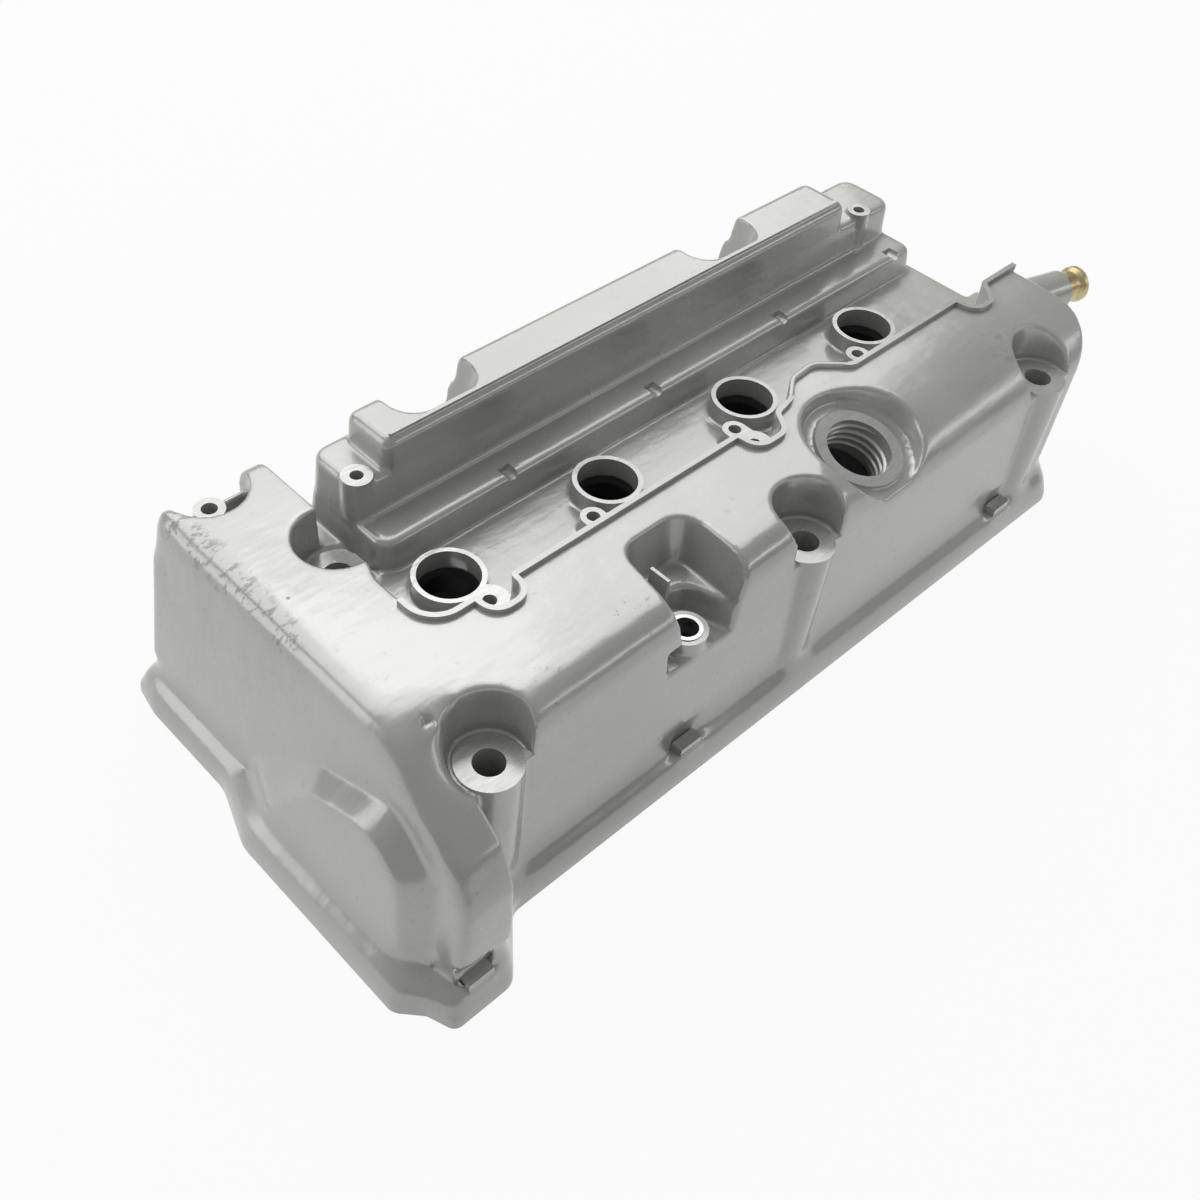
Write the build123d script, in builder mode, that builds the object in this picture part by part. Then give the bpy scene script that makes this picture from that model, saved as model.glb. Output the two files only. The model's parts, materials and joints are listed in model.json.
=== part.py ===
from build123d import *
from math import atan2, cos, degrees, radians, sin
import os

# Engine valve cover: one cast shell with the seals, baffle and fittings that it carries.
# The origin lies under the middle of the cover's box, on the gasket plane. X runs along the
# coil row towards the hose nipple, Y across it towards the breather tower, and Z is up.
# Plan places below are measured from the first coil tube.

# How far the cover reaches from the first coil tube: to the timing end, bay corner and far corner
timing_to_coil = 112.4
bay_to_coil = 121.3
far_to_coil = 108.0
wall = 3.5

# Heights above the gasket plane
flange_height = 15.0
floor_height = 86.0
rim_height = 95.0
ledge_height = 100.5
deck_height = 108.5
shoulder_height = 119.0
tower_height = 134.0

# Coil row
coil_count = 4
coil_pitch = 94.0
tube_bore = 13.9
tube_outer = 16.2
coil_bolt_hole = 3.1
coil_bolt_depth = 11.0
coil_boss = 6.0
coil_boss_reach = 16.0
first_coil_boss = 9.0

# Tube seals under the coil tubes
seal_outer = 17.0
seal_bore = 11.5
seal_top = 84.0
seal_length = 18.0
seal_wall = 3.0
seal_lead = 3.1
seal_waist = 1.7
seal_lip = 3.0

# Cover bolts: three along the near row at half pitches, one at the front and two far ones
near_row = -78.3
bolt_hole = 6.7
seat_radius = 14.0
pocket_radius = 17.0
pocket_draft = 3.5
pocket_sink = 1.5

# Feet and crests of the long walls, from the coil row
near_foot = -88.0
near_crest = -86.0
far_foot = 87.0
far_crest = 79.0
rear_foot = 366.0
rear_crest = 361.0

# Oil filler, tilted towards the near side
filler_x = 200.5
filler_y = -60.1
filler_height = 96.0
filler_tilt = 15.3
filler_bore = 16.3
filler_ring = 22.1
filler_recess = 28.5
filler_mouth = 33.5
filler_step = 2.5
filler_neck = 24.0

# Vent port in the near deck
vent_x = 66.2
vent_y = -76.6
vent_height = 80.0
vent_boss = 9.9
vent_step = 8.0
sleeve_outer = 7.4
sleeve_bore = 5.6
sleeve_length = 16.0
sleeve_stand = 0.5

# Breather baffle, screwed up against the underside of the well floor
plate_thickness = 1.5
plate_margin = 2.0
plate_gap = 1.6
plate_corner = 8.0
plate_front_corner = 3.0
screw_row_near = 33.0
screw_row_far = 70.0
screw_boss = 6.0
screw_hole = 2.1
screw_shank = 2.0
screw_depth = 12.0
screw_head = 4.5
screw_head_height = 2.6

# Threaded posts for the harness and engine trim
post_hole = 3.0
post_depth = 12.0

# Hose nipple, level and turned a little towards the near side
nipple_stand = 30.8
nipple_y = -42.3
nipple_height = 89.0
nipple_turn = -12.5
nipple_boss = 10.5
nipple_boss_length = 36.0
nipple_boss_draft = -3.0
nipple_length = 15.0
nipple_grip = 10.0
nipple_tube = 8.0
nipple_bead = 9.7
nipple_bore = 6.0
nipple_lip = 1.2
nipple_bead_start = 5.5
nipple_bead_width = 3.5

deck_end = 371.0
nipple_x = deck_end + nipple_stand
nipple_reach = nipple_length * cos(radians(nipple_turn)) - (nipple_bead - nipple_lip) * sin(radians(nipple_turn))
overall_length = timing_to_coil + nipple_x + nipple_reach
overall_width = bay_to_coil + far_to_coil
origin_x = timing_to_coil - overall_length / 2
origin_y = bay_to_coil - overall_width / 2
row = Plane((origin_x, origin_y, 0))

# Working heights and lengths of the cutting forms, all well clear of the casting
clear = 10.0
sky = tower_height + 3 * clear
reach = 60.0
# A form that is joined to another sinks into it by this much
join = 1.0


def across(x):
    """The section plane at x along the coil row: its X is the cover's Y and its Y is up."""
    return Plane((origin_x + x, origin_y, 0), x_dir=(0, 1, 0), z_dir=(1, 0, 0))


def along(y):
    """The side plane at y from the coil row, facing the near side: its Y is up."""
    return Plane((origin_x, origin_y + y, 0), x_dir=(1, 0, 0), z_dir=(0, -1, 0))


def outline(points, radii, grow=0.0):
    """A closed outline with rounded corners, grown by an offset."""
    with BuildSketch() as shape:
        with BuildLine():
            FilletPolyline(*points, radius=radii, close=True)
        make_face()
        if grow:
            offset(amount=grow)
    return shape.sketch


def raised(shape, base, top, draft=0.0, crown=0.0):
    """A drafted block over a plan shape, with the edge of its top rounded."""
    with BuildPart() as block:
        with BuildSketch(row.offset(base)):
            add(shape)
        extrude(amount=top - base, taper=draft)
        if crown:
            fillet(block.faces().sort_by(Axis.Z)[-1].edges(), crown)
    return block.part


# Flange: plan of the gasket face, from the far timing corner round the timing edge
flange_points = [
    (-98.0, far_to_coil), (-101.5, 88.0), (-101.5, 32.0), (-timing_to_coil, 2.0), (-timing_to_coil, -99.0),
    (-103.0, -109.0), (-98.5, -bay_to_coil), (-68.0, -bay_to_coil), (-46.5, -97.3), (357.0, -97.3),
    (371.0, -83.0), (371.0, -66.0), (384.0, -50.0), (384.0, 0.0), (375.0, 14.0), (375.0, 96.0),
    (-18.0, 96.0), (-26.0, far_to_coil),
]
flange_radii = [6, 20, 25, 25, 8, 8, 5, 10, 8, 10, 8, 8, 8, 8, 8, 12, 6, 6]
flange_draft = 6.0
flange_crown = 4.5
groove_inset = 3.0
groove_width = 4.0
groove_depth = 3.5

# Skirt: the long body that carries the floor of the coil well
skirt_start = -60.0
skirt_tuck = 0.5


def skirt(inset=0.0):
    """The drafted body under the coil well, drawn in by an inset for its inside."""
    levels = (
        (flange_height - 1 - 4 * inset, near_foot, far_foot, rear_foot),
        (floor_height - inset, near_crest, far_crest, rear_crest),
    )
    with BuildPart() as body:
        for level, near, far, rear in levels:
            near_y = near + skirt_tuck + inset
            far_y = far - inset
            rear_x = rear - inset
            with BuildSketch(row.offset(level)):
                add(outline(
                    [(skirt_start, near_y), (rear_x, near_y), (rear_x, far_y), (skirt_start, far_y)],
                    [1, 26, 14, 1],
                ))
        loft(ruled=True)
    return body.part


# Near deck: the plain roof of the near side, with a tight shoulder at the timing end
# that opens into a long fall past the oil filler
deck_start = -62.0
tight_end = 150.0
long_start = 195.0
deck_well_edge = -12.0
tight_shoulder = (95.0, -72.5)
long_shoulder = (82.0, -38.0)
shoulder_fullness = 0.55
deck_corner = 26.0
deck_crown = 6.0


def deck_section(shoulder, inset):
    """The section of the near deck: foot, near wall, shoulder curve and flat roof."""
    start_height, land_y = shoulder
    lean = (near_crest - near_foot) / (rim_height - flange_height)
    top = deck_height - inset
    base = flange_height - 1 - 4 * inset
    foot_y = near_foot + inset
    start_y = near_foot + inset + lean * (start_height - flange_height)
    start_z = start_height - inset
    rise = shoulder_fullness * (top - start_z)
    run = shoulder_fullness * (land_y - start_y)
    inner_y = deck_well_edge - inset
    with BuildSketch() as section:
        with BuildLine():
            Line((foot_y, base), (inner_y, base))
            Line((inner_y, base), (inner_y, top))
            Line((inner_y, top), (land_y, top))
            Bezier((land_y, top), (land_y - run, top), (start_y, start_z + rise), (start_y, start_z))
            Line((start_y, start_z), (foot_y, base))
        make_face()
    return section.sketch


def near_deck(inset=0.0):
    """The near deck: two straight lengths joined by a loft, rounded at the rear."""
    end = deck_end - inset
    with BuildPart() as turn:
        with BuildSketch(across(tight_end)):
            add(deck_section(tight_shoulder, inset))
        with BuildSketch(across(long_start)):
            add(deck_section(long_shoulder, inset))
        loft(ruled=True)
    corner = outline(
        [(deck_start - 9, near_foot + inset - skirt_tuck), (end, near_foot + inset - skirt_tuck),
         (end, 20), (deck_start - 9, 20)],
        [1, deck_corner - inset, 1, 1],
    )
    side = outline(
        [(deck_start - 9, -9), (end + 4, -9), (end, deck_height - inset), (deck_start - 9, deck_height - inset)],
        [1, 1, deck_crown, 1],
    )
    with BuildPart() as deck:
        with BuildSketch(across(deck_start)):
            add(deck_section(tight_shoulder, inset))
        extrude(amount=tight_end - deck_start)
        with BuildSketch(across(long_start)):
            add(deck_section(long_shoulder, inset))
        extrude(amount=end - long_start)
        add(turn.part)
        with BuildSketch(row.offset(-clear)):
            add(corner)
        extrude(amount=sky, mode=Mode.INTERSECT)
        with BuildSketch(along(near_foot - 9)):
            add(side)
        extrude(amount=-150, mode=Mode.INTERSECT)
    return deck.part


# Hood: the timing end, with a leaning end face, a far wall and a slope down to the bay
hood_foot = -93.0
hood_crest = -80.5
hood_rear = -26.0
hood_edge = 5.0
bay_side = -61.0
hood_points = [(101.5, 14.0), (98.5, deck_height), (-57.0, deck_height), (-103.0, 74.0), (-112.5, 58.0), (-115.5, 14.0)]
hood_radii = [1, 9, 24, 14, 14, 1]
hood_lean = degrees(atan2(hood_crest - hood_foot, deck_height - flange_height))
end_face = Plane(
    (origin_x + hood_foot, origin_y, flange_height),
    x_dir=(0, 1, 0),
    z_dir=(cos(radians(hood_lean)), 0, -sin(radians(hood_lean))),
)


def hood(inset=0.0):
    """The timing end's hood, cut back to the leaning end face and clear of the first bolt."""
    front = end_face.offset(inset)
    with BuildPart() as body:
        with BuildSketch(across(hood_rear - inset)):
            add(outline(hood_points, hood_radii, -inset))
        extrude(amount=hood_foot - hood_rear - 2)
        if inset:
            extrude(body.faces().sort_by(Axis.Z)[0], amount=6 * inset)
        split(bisect_by=front, keep=Keep.TOP)
        with BuildSketch(row.offset(-clear)):
            with BuildLine():
                Polyline(
                    (bay_side - inset, -57), (bay_side - inset, -104), (bay_side - inset - 6, -130),
                    (hood_rear + 9, -130), (hood_rear + 9, -57), close=True,
                )
            make_face()
        extrude(amount=sky, mode=Mode.SUBTRACT)
        if not inset:
            edges = body.faces().sort_by(Axis.X)[0].edges().sort_by(Axis.Z)[1:]
            fillet(edges, hood_edge)
    return body.part


# Chain bulge: the low swelling on the end face
bulge_rise = 10.0
bulge_foot = [(28.0, -10.0), (22.0, 17.0), (-24.0, 51.0), (-68.0, 67.0), (-97.0, 48.0), (-102.0, -10.0)]
bulge_face = [(-2.0, -10.0), (-6.0, 13.0), (-30.0, 43.0), (-68.0, 57.0), (-85.0, 39.0), (-92.0, -10.0)]
bulge_radii = [1, 16, 30, 22, 18, 1]


def bulge(inset=0.0):
    """The swelling, lofted from its foot on the end face to its own face."""
    with BuildPart() as body:
        with BuildSketch(end_face.offset(inset + 1)):
            add(outline(bulge_foot, bulge_radii, -inset))
        with BuildSketch(end_face.offset(inset - bulge_rise)):
            add(outline(bulge_face, bulge_radii, -inset))
        loft(ruled=True)
    return body.part


# Coil well: the sunk bay round the coil tubes, open at the rear
well_edge = -26.5
well_points = [
    (-32.5, 8.0), (-32.5, well_edge), (-9.5, well_edge), (-8.5, -38.0), (8.0, -38.0), (9.0, well_edge),
    (148.0, well_edge), (150.0, -38.5), (166.5, -38.5), (173.5, -27.5), (187.0, -24.5), (200.0, -15.0),
    (217.0, -13.5), (232.5, well_edge), (317.5, well_edge), (319.0, -38.5), (331.5, -38.5), (341.5, well_edge),
    (400.0, well_edge), (400.0, 125.0), (-24.0, 125.0), (-24.0, 30.0),
]
well_radii = [3, 13, 2.5, 7, 7, 2.5, 3, 6.5, 7.5, 5, 10, 12, 12, 5, 3, 6.5, 6, 4, 1, 1, 1, 1]
bead_width = 2.6
bead_start = -37.0
bead_front = -9.0
bead_height = 2.4

# Rib along the top of the tower
rib_inset = 5.5
rib_end = 6.0
rib_width = 1.8
rib_height = 1.4

# Raised blocks behind the coil well: plan corners, corner radii, base, top, draft and crown
terrace_points = [(-17.0, 22.5), (358.0, 22.5), (358.0, 80.2), (-17.0, 80.2)]
shoulder_points = [(-15.0, 42.5), (357.0, 42.5), (357.0, 78.0), (-15.0, 78.0)]
tower_points = [(2.0, 43.0), (313.0, 43.0), (313.0, 75.0), (2.0, 75.0)]
raised_blocks = [
    (terrace_points, [10, 8, 10, 10], floor_height, ledge_height, 8.0, 3.5),
    (shoulder_points, [9, 9, 9, 9], ledge_height, shoulder_height, 4.0, 3.5),
    (tower_points, [6, 6, 6, 6], ledge_height, tower_height, 3.0, 4.5),
]

# Threaded posts: x, y, radius, base and top
posts = [
    (-8.7, 49.7, 7.0, ledge_height, shoulder_height + 2.0),
    (329.0, 47.5, 6.0, ledge_height, shoulder_height + 3.0),
]
screws = [(8.0 + 110.0 * i, screw_row_near) for i in range(4)]
screws += [(x, screw_row_far) for x in (8.0, 138.0, 338.0)]

near_bolts = [((0.5 + 2 * i - 1) * coil_pitch, near_row) for i in range(3)]
front_bolt = (-30.0, 37.0)
far_bolts = [(44.0, 74.0), (232.0, 74.0)]
bolts = near_bolts + [front_bolt] + far_bolts
tubes = [(i * coil_pitch, 0) for i in range(coil_count)]
coil_bolts = [(3.5, -21.7)] + [(x - 22.1, -13.2) for x, y in tubes[1:]]

# Vent recess: a scoop in the near deck, with a lower step round the vent port
vent_points = [(60.0, -48.5), (89.0, -48.5), (86.0, -104.0), (50.0, -104.0)]
vent_radii = [6, 7, 1, 1]
vent_floor = 86.0
vent_draft = 14.0
vent_notch = [(54.0, -65.0), (79.0, -60.5), (88.0, -91.0), (88.0, -104.0), (46.0, -104.0), (46.0, -86.0)]
vent_notch_radii = [6, 9, 1, 1, 1, 4]
vent_notch_draft = 6.0
vent_fin = (63.4, -60.5, 10.5, 1.6)
vent_fin_height = 101.5

# Pockets of the two bolts behind the tower
far_pocket_length = 32.0
far_pocket_near = 58.5
far_pocket_corner = 7.0
far_pocket_draft = 8.0

# Notch at the far corner of the timing end, with a threaded boss and a low rib
notch = (-54.0, 95.5)
notch_radius = 17.0
notch_floor = 88.0
corner_boss = (-58.8, 86.4)
corner_boss_radius = 7.0
corner_boss_hole = 3.6
corner_boss_top = 105.0
corner_boss_depth = 14.0
corner_rib = (-54.0, 93.5, 38.0, 3.0)
corner_rib_top = 98.0

# Small rounded notches in the terrace's near edge, and low round pads in the well
terrace_notches = [58.5 + coil_pitch * i for i in range(coil_count)]
terrace_notch_radius = 3.6
terrace_notch_end = 32.0
pads = [(166.0, -25.5), (334.5, -26.5)]
pad_radius = 8.5
pad_hole = 2.7

# Pry tabs on the flange: x and edge, length, width and height
pry_tabs = [(-82.5, -121.3), (64.0, -97.3), (310.0, -97.3)]
tab_length = 13.0
tab_width = 6.0
tab_height = 4.0
tab_inset = 3.5
relief_length = 16.0
relief_depth = 1.6
relief_height = 9.0
relief_corner = 3.0

filler = Plane(
    (origin_x + filler_x, origin_y + filler_y, filler_height),
    x_dir=(1, 0, 0),
    z_dir=(0, -sin(radians(filler_tilt)), cos(radians(filler_tilt))),
)
filler_flare = degrees(atan2(filler_mouth - filler_recess, deck_height - filler_height + filler_step))

nipple = Plane(
    (origin_x + nipple_x, origin_y + nipple_y, nipple_height),
    x_dir=(0, 0, 1),
    z_dir=(cos(radians(nipple_turn)), sin(radians(nipple_turn)), 0),
)


def bolt_pockets(grow=0.0):
    """The flared pockets over the near bolts and the front bolt, and the notch in the far corner."""
    with BuildPart() as body:
        with BuildSketch(row.offset(floor_height - pocket_sink - grow)):
            with Locations(*near_bolts, front_bolt):
                Circle(pocket_radius + grow)
        extrude(amount=reach, taper=-pocket_draft)
        with BuildSketch(row.offset(notch_floor - grow)):
            with Locations(notch):
                Circle(notch_radius + grow)
        extrude(amount=reach, taper=-pocket_draft)
    return body.part


def far_pockets(grow=0.0):
    """The square pockets behind the tower."""
    depth = far_to_coil - far_pocket_near
    with BuildPart() as body:
        with BuildSketch(row.offset(floor_height - pocket_sink - grow)):
            with Locations(*[(x, far_pocket_near + depth / 2) for x, y in far_bolts]):
                RectangleRounded(far_pocket_length + 2 * grow, depth + 2 * grow, far_pocket_corner + grow)
        extrude(amount=reach, taper=-far_pocket_draft)
    return body.part


def vent_scoop(grow=0.0):
    """The scoop round the vent port, with its lower step."""
    upper = raised(outline(vent_points, vent_radii, grow), vent_floor - grow, sky, -vent_draft)
    step = outline(vent_notch, vent_notch_radii, grow)
    lower = raised(step, vent_height - vent_step - grow, vent_floor + join, -vent_notch_draft)
    with BuildPart() as body:
        add(upper)
        add(lower)
    return body.part


def filler_bowl(grow=0.0):
    """The flared bowl round the oil filler."""
    with BuildPart() as body:
        with BuildSketch(filler.offset(-filler_step - grow)):
            Circle(filler_recess + grow)
        extrude(amount=reach, taper=-filler_flare)
    return body.part


def through(places, radius, base, top):
    """Upright round bars on plan places, from one height to another."""
    with BuildPart() as body:
        with BuildSketch(row.offset(base)):
            with Locations(*places):
                Circle(radius)
        extrude(amount=top - base)
    return body.part


# Forms that are cut from the casting or added to it, each made on its own
outer_blocks = []
inner_blocks = []
for points, radii, base, top, draft, crown in raised_blocks:
    outer_blocks.append(raised(outline(points, radii), base - join, top, draft, crown))
    inner_blocks.append(raised(outline(points, radii, -wall), floor_height - wall - 2 * join, top - wall, draft))
well_plan = outline(well_points, well_radii)
well_guard = outline(well_points, well_radii, wall)
bead_plan = outline(well_points, well_radii, bead_width)
terrace_inside = outline(terrace_points, raised_blocks[0][1], -wall)
well = raised(well_plan, floor_height, sky)
foot = raised(outline(flange_points, flange_radii), 0, flange_height, flange_draft, flange_crown)
seal_foot = seal_top - seal_length
plate_top = floor_height - wall
post_feet = []
post_bars = []
post_bores = []
for x, y, radius, base, top in posts:
    post_feet.append(through([(x, y)], radius, top - post_depth - wall, base))
    post_bars.append(through([(x, y)], radius, base - join, top))
    post_bores.append(through([(x, y)], post_hole, top - post_depth, top + join))

with BuildSketch() as groove_plan:
    add(outline(flange_points, flange_radii, -groove_inset))
    add(outline(flange_points, flange_radii, -groove_inset - groove_width), mode=Mode.SUBTRACT)

# The hollow under the casting: every outer form drawn in by the wall, less what must stay solid
inner_forms = [skirt(wall), near_deck(wall), hood(wall), bulge(wall)] + inner_blocks
solid_inside = [
    bolt_pockets(wall),
    far_pockets(wall),
    vent_scoop(wall),
    filler_bowl(wall),
    through(bolts, seat_radius, -clear, floor_height),
    through(tubes, seal_outer + seal_wall, seal_foot, floor_height),
    through([corner_boss], corner_boss_radius, corner_boss_top - corner_boss_depth - wall, notch_floor),
] + post_feet
with BuildPart() as hollow:
    for form in inner_forms:
        add(form)
    with BuildSketch(row.offset(plate_top)):
        add(well_guard)
        add(terrace_inside, mode=Mode.SUBTRACT)
    extrude(amount=sky, mode=Mode.SUBTRACT)
    for form in solid_inside:
        add(form, mode=Mode.SUBTRACT)
    with BuildSketch(filler.offset(-filler_neck)):
        Circle(filler_ring)
    extrude(amount=filler_neck + join, mode=Mode.SUBTRACT)

# Pry tabs on the flange, each in a half-round relief of the wall
with BuildPart() as tabs:
    with BuildSketch(row.offset(flange_height - flange_crown)):
        with Locations(*[(x, edge + tab_width / 2 + tab_inset) for x, edge in pry_tabs]):
            Rectangle(tab_length, tab_width)
    extrude(amount=flange_crown + tab_height)

# Bolt bosses beside the coil tubes, and the pads that carry the coil cover
with BuildSketch() as boss_plan:
    with Locations(*coil_bolts[1:]):
        Circle(coil_boss)
    with Locations(*[(x, y - coil_boss_reach / 2) for x, y in coil_bolts[1:]]):
        Rectangle(2 * coil_boss, coil_boss_reach)
    with Locations(coil_bolts[0]):
        Circle(first_coil_boss)
    with Locations(*pads):
        Circle(pad_radius)

# Shallow reliefs in the walls behind the pry tabs
with BuildPart() as reliefs:
    for x, edge in pry_tabs:
        with BuildSketch(along(edge + tab_inset + tab_width + relief_depth)):
            with Locations((x, flange_height + join + relief_height / 2)):
                RectangleRounded(relief_length, relief_height, relief_corner)
        extrude(amount=relief_depth + clear)

# Upright bars: those that stand when the hollow is cut, and those that are put back after it
vent_place = (vent_x, vent_y)
bars = [
    through(bolts, seat_radius, flange_height - join, floor_height),
    through(tubes, tube_outer, floor_height - join, rim_height),
    through([vent_place], vent_boss, vent_height - vent_step - join, vent_height),
    through([corner_boss], corner_boss_radius, notch_floor - join, corner_boss_top),
]
late_bars = post_bars + [through(screws, screw_boss, plate_top, ledge_height - join)]
bores = [
    through(bolts, bolt_hole, -clear, sky),
    through(tubes, tube_bore, seal_foot - join, sky),
    through(tubes, seal_outer, seal_foot - join, seal_top),
    through(coil_bolts, coil_bolt_hole, rim_height - coil_bolt_depth, sky),
    through(pads, pad_hole, rim_height - coil_bolt_depth, sky),
    through([corner_boss], corner_boss_hole, corner_boss_top - corner_boss_depth, sky),
    through([vent_place], sleeve_outer, vent_height - sleeve_length, vent_height + clear),
    through([vent_place], sleeve_bore, flange_height, vent_height),
    through(screws, screw_hole, plate_top, plate_top + screw_depth),
] + post_bores

# The casting
shell_forms = [foot, skirt(), near_deck(), hood(), bulge()]
near_pockets = bolt_pockets()
cuts = [far_pockets(), vent_scoop(), filler_bowl()]
with BuildPart() as cover_casting:
    for form in shell_forms:
        add(form)
    add(well, mode=Mode.SUBTRACT)
    add(near_pockets, mode=Mode.SUBTRACT)
    add(reliefs.part, mode=Mode.SUBTRACT)
    for block in outer_blocks:
        add(block)
    for form in cuts:
        add(form, mode=Mode.SUBTRACT)
    # Bead along the near edge of the coil well
    with BuildSketch(row.offset(deck_height - join)):
        with BuildLine():
            Polyline(
                (bead_start, bead_front), (bead_start, near_crest), (deck_end - 1, near_crest),
                (deck_end - 1, well_edge + 1), (0, well_edge + 1), (0, bead_front), close=True,
            )
        make_face()
        add(bead_plan, mode=Mode.INTERSECT)
        add(well_plan, mode=Mode.SUBTRACT)
    extrude(amount=bead_height + join)
    # Rib along the tower's near edge
    with BuildSketch(row.offset(tower_height - join)):
        with Locations(((tower_points[0][0] + tower_points[1][0]) / 2, tower_points[0][1] + rib_inset)):
            RectangleRounded(tower_points[1][0] - tower_points[0][0] - 2 * rib_end, rib_width, rib_width / 2 - 0.05)
    extrude(amount=rib_height + join)
    # Bolt columns, coil tubes and their bosses, filler ring, vent fin, nipple boss and corner rib
    for form in bars:
        add(form)
    with BuildSketch(row.offset(floor_height - join)):
        add(boss_plan.sketch)
    extrude(amount=rim_height - floor_height + join)
    with BuildSketch(filler.offset(-filler_step - join)):
        Circle(filler_ring)
    extrude(amount=filler_step + join)
    with BuildSketch(row.offset(vent_floor - vent_step)):
        with Locations((vent_fin[0], vent_fin[1])):
            Rectangle(vent_fin[3], vent_fin[2])
    extrude(amount=vent_fin_height - vent_floor + vent_step)
    with BuildSketch(nipple):
        Circle(nipple_boss)
    extrude(amount=-nipple_boss_length, taper=nipple_boss_draft)
    with BuildSketch(row.offset(notch_floor - join)):
        with Locations((corner_rib[0], corner_rib[1])):
            Rectangle(corner_rib[2], corner_rib[3])
    extrude(amount=corner_rib_top - notch_floor + join)
    add(tabs.part)
    add(hollow.part, mode=Mode.SUBTRACT)
    for form in late_bars:
        add(form)
    # Notches in the terrace's near edge
    with BuildSketch(along(terrace_notch_end)):
        with Locations(*[(x, ledge_height + 1) for x in terrace_notches]):
            Circle(terrace_notch_radius)
    extrude(amount=terrace_notch_end - terrace_points[0][1], mode=Mode.SUBTRACT)
    # Bores
    for form in bores:
        add(form, mode=Mode.SUBTRACT)
    with BuildSketch(filler.offset(-filler_neck - clear)):
        Circle(filler_bore)
    extrude(amount=reach, mode=Mode.SUBTRACT)
    with BuildSketch(nipple):
        Circle(nipple_bore)
    extrude(amount=-nipple_boss_length - 2 * clear, mode=Mode.SUBTRACT)
    with BuildSketch(nipple):
        Circle(nipple_tube)
    extrude(amount=-nipple_grip, mode=Mode.SUBTRACT)
    # Gasket groove round the foot of the flange
    with BuildSketch(row):
        add(groove_plan.sketch)
    extrude(amount=groove_depth, mode=Mode.SUBTRACT)

# Gasket pressed into the groove, flush with the flange
with BuildPart() as cover_gasket:
    with BuildSketch(row):
        add(groove_plan.sketch)
    extrude(amount=groove_depth)

# Baffle plate that closes the breather chamber, notched round the far bolts
plate_front = terrace_points[0][0] + wall - plate_margin
plate_near = terrace_points[0][1] + wall - plate_margin
plate_rear = terrace_points[1][0] - wall - plate_gap
plate_far = far_crest - wall - plate_gap
plate_notch = far_pocket_length + 2 * wall + 2 * plate_gap
with BuildPart() as baffle_plate:
    with BuildSketch(row.offset(plate_top - plate_thickness)):
        with BuildLine():
            FilletPolyline(
                (plate_front, plate_near), (plate_rear, plate_near), (plate_rear, plate_far), (plate_front, plate_far),
                radius=[plate_front_corner, plate_corner, plate_corner, plate_front_corner], close=True,
            )
        make_face()
        with Locations(*[(x, far_to_coil + far_pocket_near - wall - plate_gap) for x, y in far_bolts]):
            Rectangle(plate_notch, 2 * far_to_coil, mode=Mode.SUBTRACT)
        with Locations(front_bolt):
            Circle(pocket_radius + wall + plate_gap, mode=Mode.SUBTRACT)
        with Locations(*screws):
            Circle(screw_hole, mode=Mode.SUBTRACT)
    extrude(amount=plate_thickness)

# Screws of the baffle plate
with BuildPart() as baffle_screws:
    with BuildSketch(row.offset(plate_top - plate_thickness - screw_head_height)):
        with Locations(*screws):
            Circle(screw_head)
    extrude(amount=screw_head_height)
    with BuildSketch(row.offset(plate_top - plate_thickness)):
        with Locations(*screws):
            Circle(screw_shank)
    extrude(amount=plate_thickness + screw_depth - join)

# Sleeve pressed into the vent port
with BuildPart() as vent_sleeve:
    with BuildSketch(row.offset(vent_height - sleeve_length)):
        with Locations((vent_x, vent_y)):
            Circle(sleeve_outer)
            Circle(sleeve_bore, mode=Mode.SUBTRACT)
    extrude(amount=sleeve_length + sleeve_stand)

# Hose nipple pressed into its boss, with a rolled bead at the mouth
nipple_section = Plane(nipple.origin, x_dir=nipple.x_dir, z_dir=nipple.y_dir)
with BuildPart() as breather_nipple:
    with BuildSketch(nipple_section):
        with BuildLine():
            Polyline(
                (nipple_bore, nipple_grip), (nipple_tube, nipple_grip),
                (nipple_tube, nipple_bead_start - nipple_length), (nipple_bead, nipple_bead_width - nipple_length),
                (nipple_bead, nipple_lip - nipple_length), (nipple_bead - nipple_lip, -nipple_length),
                (nipple_bore, -nipple_length), close=True,
            )
        make_face()
    revolve(axis=Axis(nipple.origin, nipple.z_dir))

# Rubber seals pressed under the coil tubes
seal_profile = [
    (seal_outer, seal_foot), (seal_outer, seal_top), (seal_bore + seal_lead, seal_top),
    (seal_bore + seal_waist, seal_top - seal_lip), (seal_bore + seal_waist, seal_foot + seal_lip + seal_waist),
    (seal_bore, seal_foot + seal_lip), (seal_bore, seal_foot + seal_lip / 2), (seal_bore + seal_waist, seal_foot),
]
tube_seals = []
for number, (x, y) in enumerate(tubes, 1):
    with BuildPart() as tube_seal:
        with BuildSketch(along(y)):
            with BuildLine():
                Polyline(*[(x + r, h) for r, h in seal_profile], close=True)
            make_face()
        revolve(axis=Axis((origin_x + x, origin_y + y, 0), (0, 0, 1)))
    tube_seal.part.label = "tube_seal_" + str(number)
    tube_seals.append(tube_seal)

cover_casting.part.label = "cover_casting"
cover_gasket.part.label = "cover_gasket"
baffle_plate.part.label = "baffle_plate"
baffle_screws.part.label = "baffle_screws"
vent_sleeve.part.label = "vent_sleeve"
breather_nipple.part.label = "breather_nipple"

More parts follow.
